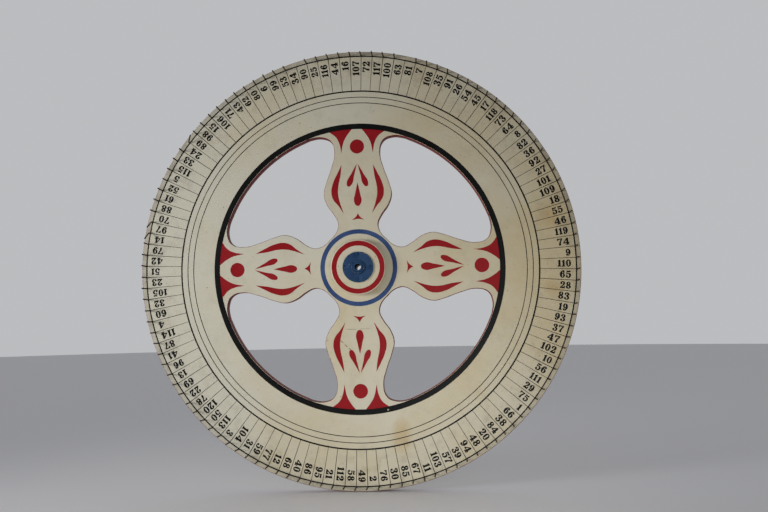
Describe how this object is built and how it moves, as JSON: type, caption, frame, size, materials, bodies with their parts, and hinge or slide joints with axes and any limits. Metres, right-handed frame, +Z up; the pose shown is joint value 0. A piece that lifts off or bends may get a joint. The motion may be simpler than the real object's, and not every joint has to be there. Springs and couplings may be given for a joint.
{
  "type": "game wheel",
  "caption": "Upright painted game wheel with scalloped spokes, numbered spaces, rim pins and a ball-bearing hub.",
  "frame": {"origin": "on the axle, halfway through the board and halfway along the spindle bore", "axes": "+Y along the axle towards the back, so the numbered front faces -Y; +Z up, +X to the viewer's right"},
  "size_m": [0.9143, 0.075, 0.9144],
  "materials": {
    "cream_board": "aged cream oil paint on laminated wood",
    "red_edge": "dark red oil paint on the sawn edges",
    "black_enamel": "brushed black signwriter's enamel",
    "red_enamel": "brushed deep red signwriter's enamel",
    "blue_enamel": "worn blue enamel",
    "nail_wire": "dark oxidised nail wire",
    "screw_steel": "dull steel with worn blue paint",
    "turned_steel": "turned steel, dulled with age",
    "bearing_steel": "ground bearing steel, greased",
    "cage_brass": "pressed brass"
  },
  "bodies": {
    "axle": {"axle_sleeve": "turned_steel", "race_spacer": "turned_steel", "front_inner_race": "bearing_steel", "back_inner_race": "bearing_steel", "front_ring_nut": "turned_steel", "back_ring_nut": "turned_steel"},
    "wheel": {"front_face_ply": "cream_board", "core_ply": "red_edge", "back_face_ply": "cream_board", "rim_pins": "nail_wire", "front_boss": "cream_board", "back_boss": "cream_board", "front_flange": "blue_enamel", "back_flange": "blue_enamel", "front_flange_screws": "screw_steel", "back_flange_screws": "screw_steel", "hub_barrel": "turned_steel", "front_outer_race": "bearing_steel", "back_outer_race": "bearing_steel"},
    "front_ball_set": {"front_balls": "bearing_steel", "front_cage": "cage_brass"},
    "back_ball_set": {"back_balls": "bearing_steel", "back_cage": "cage_brass"}
  },
  "joints": [
    {"name": "wheel_spin", "type": "hinge", "parent": "axle", "child": "wheel", "pos_m": [0, 0, 0], "axis": [0, 1, 0], "continuous": true},
    {"name": "front_ball_roll", "type": "hinge", "parent": "axle", "child": "front_ball_set", "pos_m": [0, -0.02194, 0], "axis": [0, 1, 0], "continuous": true},
    {"name": "back_ball_roll", "type": "hinge", "parent": "axle", "child": "back_ball_set", "pos_m": [0, 0.02194, 0], "axis": [0, 1, 0], "continuous": true}
  ],
  "couplings": [
    {"joint": "front_ball_roll", "follows": "wheel_spin", "ratio": 0.6053},
    {"joint": "back_ball_roll", "follows": "wheel_spin", "ratio": 0.6053}
  ]
}
